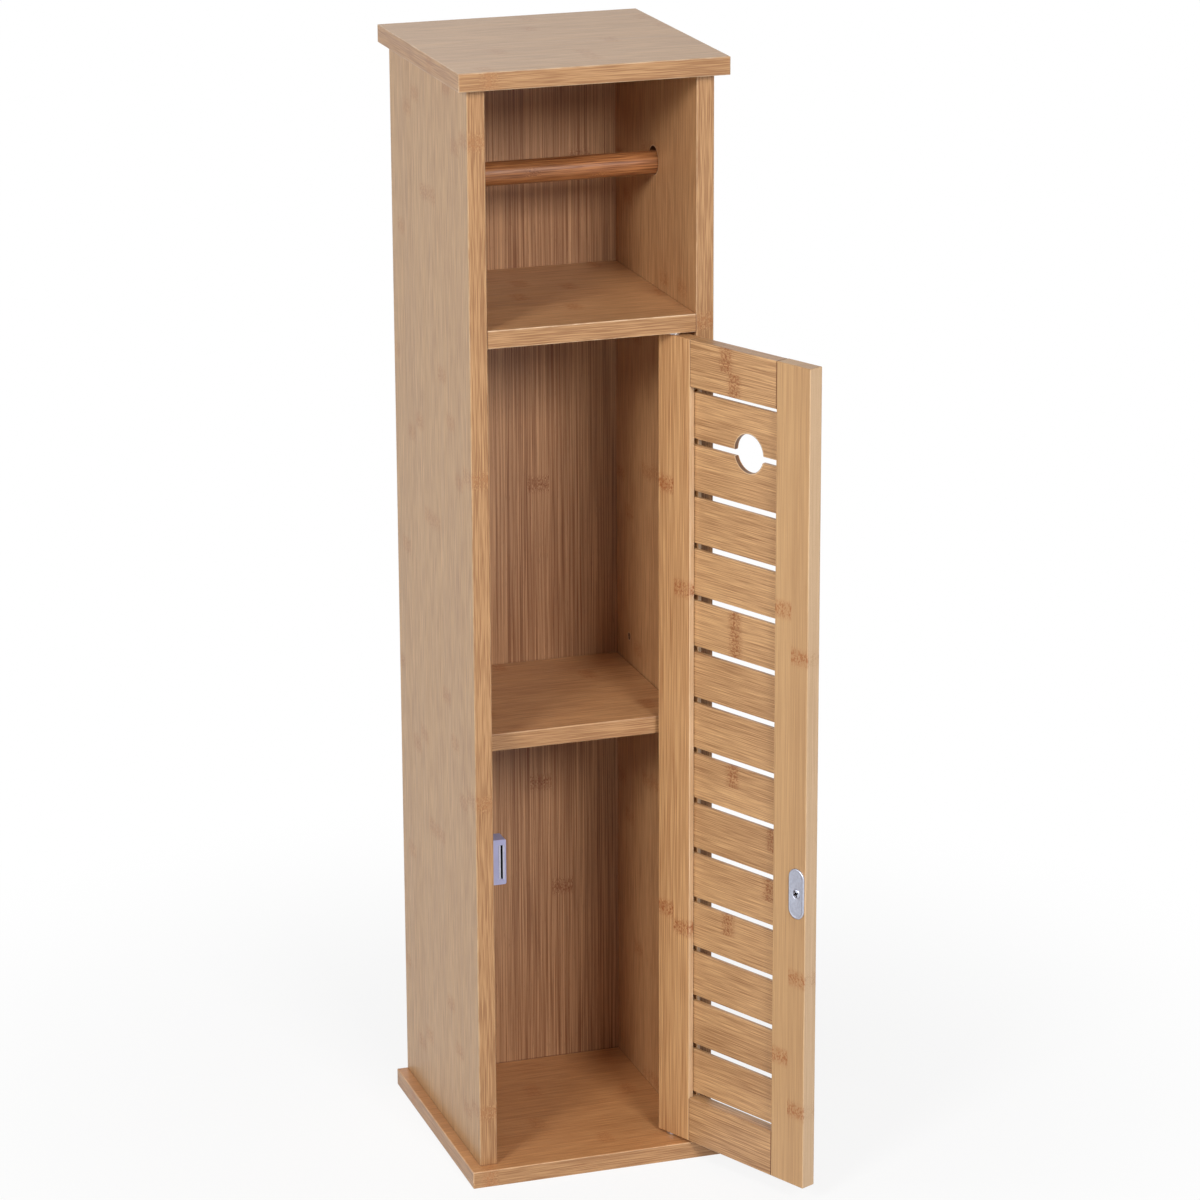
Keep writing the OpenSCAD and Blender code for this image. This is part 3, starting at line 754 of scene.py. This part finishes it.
def bridge(shape, lines):
    """Joins each line of corners to the next one with a ring of faces, and returns the faces."""
    rings = [bmesh.ops.bridge_loops(shape, edges=edges_between(first) + edges_between(second))["faces"]
             for first, second in zip(lines, lines[1:])]
    return [face for ring in rings for face in ring]


print("a line has", CORNERS, "corners, and so has each ring of faces between two lines")

# %% [markdown]
# The drawing of a fitting is in millimetres around its own middle, with its face towards the viewer
# along y. A matrix then carries it to its place on the door, so that its object stays at the origin
# as every piece of the model does.


# %% A finished fitting on the door
SHARP_ANGLE = math.radians(40)


def door_fitting(name, shape, spot, materials, node):
    """Turns a drawn shape into a piece on the door that stands for a node of the model."""
    own_place = Matrix.Translation(Vector(spot) * MM) @ Matrix.Scale(MM, 4)
    on_door = Matrix.Translation(DOOR_PIVOT) @ Matrix.Rotation(DOOR_ANGLE, 4, "Z") @ own_place
    bmesh.ops.recalc_face_normals(shape, faces=shape.faces)
    bmesh.ops.transform(shape, matrix=on_door, verts=shape.verts)
    mesh = bpy.data.meshes.new(name)
    shape.to_mesh(mesh)
    shape.free()
    for material in materials:
        mesh.materials.append(material)
    mesh.shade_smooth()
    mesh.set_sharp_from_angle(angle=SHARP_ANGLE)
    piece = bpy.data.objects.new(name, mesh)
    bpy.context.scene.collection.objects.link(piece)
    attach(piece, "door")
    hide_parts(node)
    print(name, "has", len(mesh.polygons), "faces")


# %% [markdown]
# The plate's lines run from the edge on the wood, over the rounded rim and down into the pressed
# field, and then through the dished hole back to the wood. The last line is bridged to the first one,
# which closes the back.

# %% The strike plate
low, high = reach("strike_plate")
PLATE_MIDDLE = ((low[X] + high[X]) / 2, high[Y], (low[Z] + high[Z]) / 2)
PLATE_RADIUS = (high[X] - low[X]) / 2
PLATE_STRETCH = (high[Z] - low[Z]) / 2 - PLATE_RADIUS
PLATE_FACE = low[Y] - high[Y]
PRESSED = 0.15
DISH_RADIUS = 3.7
SCREW_RADIUS = 3.2
FIELD_FACE = PLATE_FACE + PRESSED

plate = bmesh.new()
lines = [circle_line(plate, PLATE_RADIUS, 0.0, PLATE_STRETCH)]
for inwards, depth in ((0.0, 0.55), (0.12, 0.8), (0.4, 0.96), (0.8, 1.0), (1.25, 0.98)):
    lines.append(circle_line(plate, PLATE_RADIUS - inwards, PLATE_FACE * depth, PLATE_STRETCH))
for inwards in (1.5, 1.6):
    lines.append(circle_line(plate, PLATE_RADIUS - inwards, FIELD_FACE, PLATE_STRETCH))
for radius, depth in ((DISH_RADIUS + 0.1, FIELD_FACE + 0.01), (DISH_RADIUS, FIELD_FACE + 0.02),
                      (DISH_RADIUS - 0.25, FIELD_FACE + 0.15), (SCREW_RADIUS - 1.2, -0.02),
                      (SCREW_RADIUS - 1.2, 0.0)):
    lines.append(circle_line(plate, radius, depth))
bridge(plate, lines + lines[:1])
door_fitting("strike_plate_pressed", plate, PLATE_MIDDLE, [zinc], "strike_plate")

# %% [markdown]
# The screw's head is a low dome. Its cross is a circle whose corners between the four arms are pushed
# towards the middle, and it is sunk straight into the head, where its walls are given the black ferrite
# material as painted shade. Below the head the screw narrows to its shank, which the door hides.


# %% The screw
CROSS_TURN = math.radians(28)


def cross_line(shape, reach_out, reach_in, depth):
    """A line of corners in the shape of a rounded cross, standing at an angle as screws do."""
    corners = circle_line(shape, 1.0, depth)
    for corner in corners:
        angle = math.atan2(corner.co.z, corner.co.x) - CROSS_TURN
        arm = max(0.0, math.cos(2 * angle) ** 2 * 2 - 1)
        radius = reach_in + (reach_out - reach_in) * arm ** 0.6
        corner.co.x *= radius
        corner.co.z *= radius
    return corners


low, high = reach("strike_screw")
SHANK_RADIUS = 1.4
screw = bmesh.new()
end = circle_line(screw, SHANK_RADIUS * 0.3, high[Y] - PLATE_MIDDLE[Y])
lines = [end]
for radius, depth in ((SHANK_RADIUS, high[Y] - PLATE_MIDDLE[Y] - 1.5), (SHANK_RADIUS, 1.2),
                      (SCREW_RADIUS - 0.1, PLATE_FACE * 0.5), (SCREW_RADIUS, PLATE_FACE * 0.6),
                      (SCREW_RADIUS - 0.2, PLATE_FACE * 0.78), (SCREW_RADIUS - 0.6, PLATE_FACE * 0.92)):
    lines.append(circle_line(screw, radius, depth))
mouth = cross_line(screw, 2.6, 1.2, PLATE_FACE * 0.97)
bottom = cross_line(screw, 1.8, 0.8, 0.5)
bridge(screw, lines + [mouth])
recess = bridge(screw, [mouth, cross_line(screw, 2.4, 1.1, PLATE_FACE * 0.8), bottom])
recess += bmesh.ops.contextual_create(screw, geom=edges_between(bottom))["faces"]
bmesh.ops.contextual_create(screw, geom=edges_between(end))
# The faces of the cross get the black ferrite: painted shade in the recess.
for face in recess:
    face.material_index = 1
door_fitting("strike_screw_cross", screw, PLATE_MIDDLE, [zinc, ferrite], "strike_screw")

# %% [markdown]
# ## Studio
# The camera stands a little to the left of the cabinet, above its top, and looks down at it through
# a long lens.

# %% Camera
EYE = (-0.917445, -2.882994, 1.339147)
LOOK_RIGHT = math.radians(18.252)
LOOK_DOWN = math.radians(17.348)
TILT = math.radians(-0.26)
SENSOR = 36
FOCAL_LENGTH = 135.745

lens = bpy.data.cameras.new("camera")
lens.sensor_width = SENSOR
lens.lens = FOCAL_LENGTH
camera = bpy.data.objects.new("camera", lens)
heading = Matrix.Rotation(-LOOK_RIGHT, 4, "Z") @ Matrix.Rotation(math.pi / 2 - LOOK_DOWN, 4, "X")
camera.matrix_world = Matrix.Translation(EYE) @ heading @ Matrix.Rotation(TILT, 4, "Z")
bpy.context.scene.collection.objects.link(camera)
bpy.context.scene.camera = camera
bpy.context.scene.view_settings.view_transform = "Standard"
print("the camera sees", round(math.degrees(lens.angle), 1), "degrees")

# %% [markdown]
# The floor is white. To the camera it also glows a little, so that it comes out as clean paper: the
# glow is weak near the cabinet, where the soft shadow has to stay, and takes over further away.

# %% Floor
FLOOR_HALF = 15.0
GLOW_START, GLOW_END = 200, 700
GLOW_NEAR = 0.86
mesh = bpy.data.meshes.new("floor")
shape = bmesh.new()
bmesh.ops.create_grid(shape, x_segments=1, y_segments=1, size=FLOOR_HALF)
shape.to_mesh(mesh)
shape.free()
floor = bpy.data.objects.new("floor", mesh)
bpy.context.scene.collection.objects.link(floor)

paper = Recipe(bpy.data.materials.new("floor_paper"))
x, y, z = place(paper)
fleck = paper.noise(x / 3, y / 3, z / 3)
white = paper.mix(fleck, srgb(238, 238, 238), srgb(244, 244, 244))
paper.surface(base_color=white, roughness=0.9)
glow = paper.add("ShaderNodeEmission", {}, {"Color": (1, 1, 1, 1), "Strength": 1.0})
far = paper.distance(x, y, z).step(GLOW_START, GLOW_END)
share = paper.seen_directly() * (far * (1 - GLOW_NEAR) + GLOW_NEAR)
lit = Amount(paper, paper.tree.nodes["Principled BSDF"].outputs[0])
paper.fill(paper.tree.nodes["Material Output"].inputs["Surface"],
           paper.add("ShaderNodeMixShader", {}, {0: share, 1: lit, 2: glow}))
mesh.materials.append(paper.owner)
print("the floor is", FLOOR_HALF * 2, "m wide")

# %% [markdown]
# The room around is white too. Glossy finishes mirror it at full strength, which greys the tops and
# sides that are seen at a flat angle, as in any photo of lacquered wood. Its light on the object is
# far weaker, because the lamps do that work.

# %% World
ROOM_LIGHT = 0.05
room = Recipe(bpy.data.worlds.new("studio"))
bpy.context.scene.world = room.owner
background = room.tree.nodes["Background"]
room.fill(background.inputs["Color"], (1, 1, 1, 1))
room.fill(background.inputs["Strength"], room.seen_directly() * (1 - ROOM_LIGHT) + ROOM_LIGHT)
print("the room lights the cabinet with", ROOM_LIGHT, "of the strength that it is mirrored with")

# %% [markdown]
# Five square soft boxes: the main one from the left, a second from the front, a wide one that
# brushes the left side, a weak one from above, and one behind for the top. Each line gives the turn
# and the rise in degrees, the width in metres and the power in watts.

# %% Lamps
AIM = Vector((0, 0, 0.4))
LAMP_DISTANCE = 4.0


def softbox(name, azimuth, elevation, size, power):
    """A square lamp, turned to the right of the front by azimuth and up by elevation, in degrees."""
    turn = math.radians(azimuth)
    rise = math.radians(elevation)
    towards = Vector((math.sin(turn) * math.cos(rise), -math.cos(turn) * math.cos(rise), math.sin(rise)))
    lamp = bpy.data.lights.new(name, "AREA")
    lamp.shape = "SQUARE"
    lamp.size = size
    lamp.energy = power
    box = bpy.data.objects.new(name, lamp)
    facing = (-towards).to_track_quat("-Z", "Y").to_matrix().to_4x4()
    box.matrix_world = Matrix.Translation(AIM + towards * LAMP_DISTANCE) @ facing
    bpy.context.scene.collection.objects.link(box)


softbox("key", -47.5, 27, 0.9, 79)
softbox("front", 5, 26, 0.9, 80)
softbox("left", -85, 10, 1.4, 21)
softbox("top", -20, 60, 1.4, 11)
softbox("rear", 180, 45, 1.4, 27)
print("lamps:", ", ".join(lamp.name for lamp in bpy.data.lights))
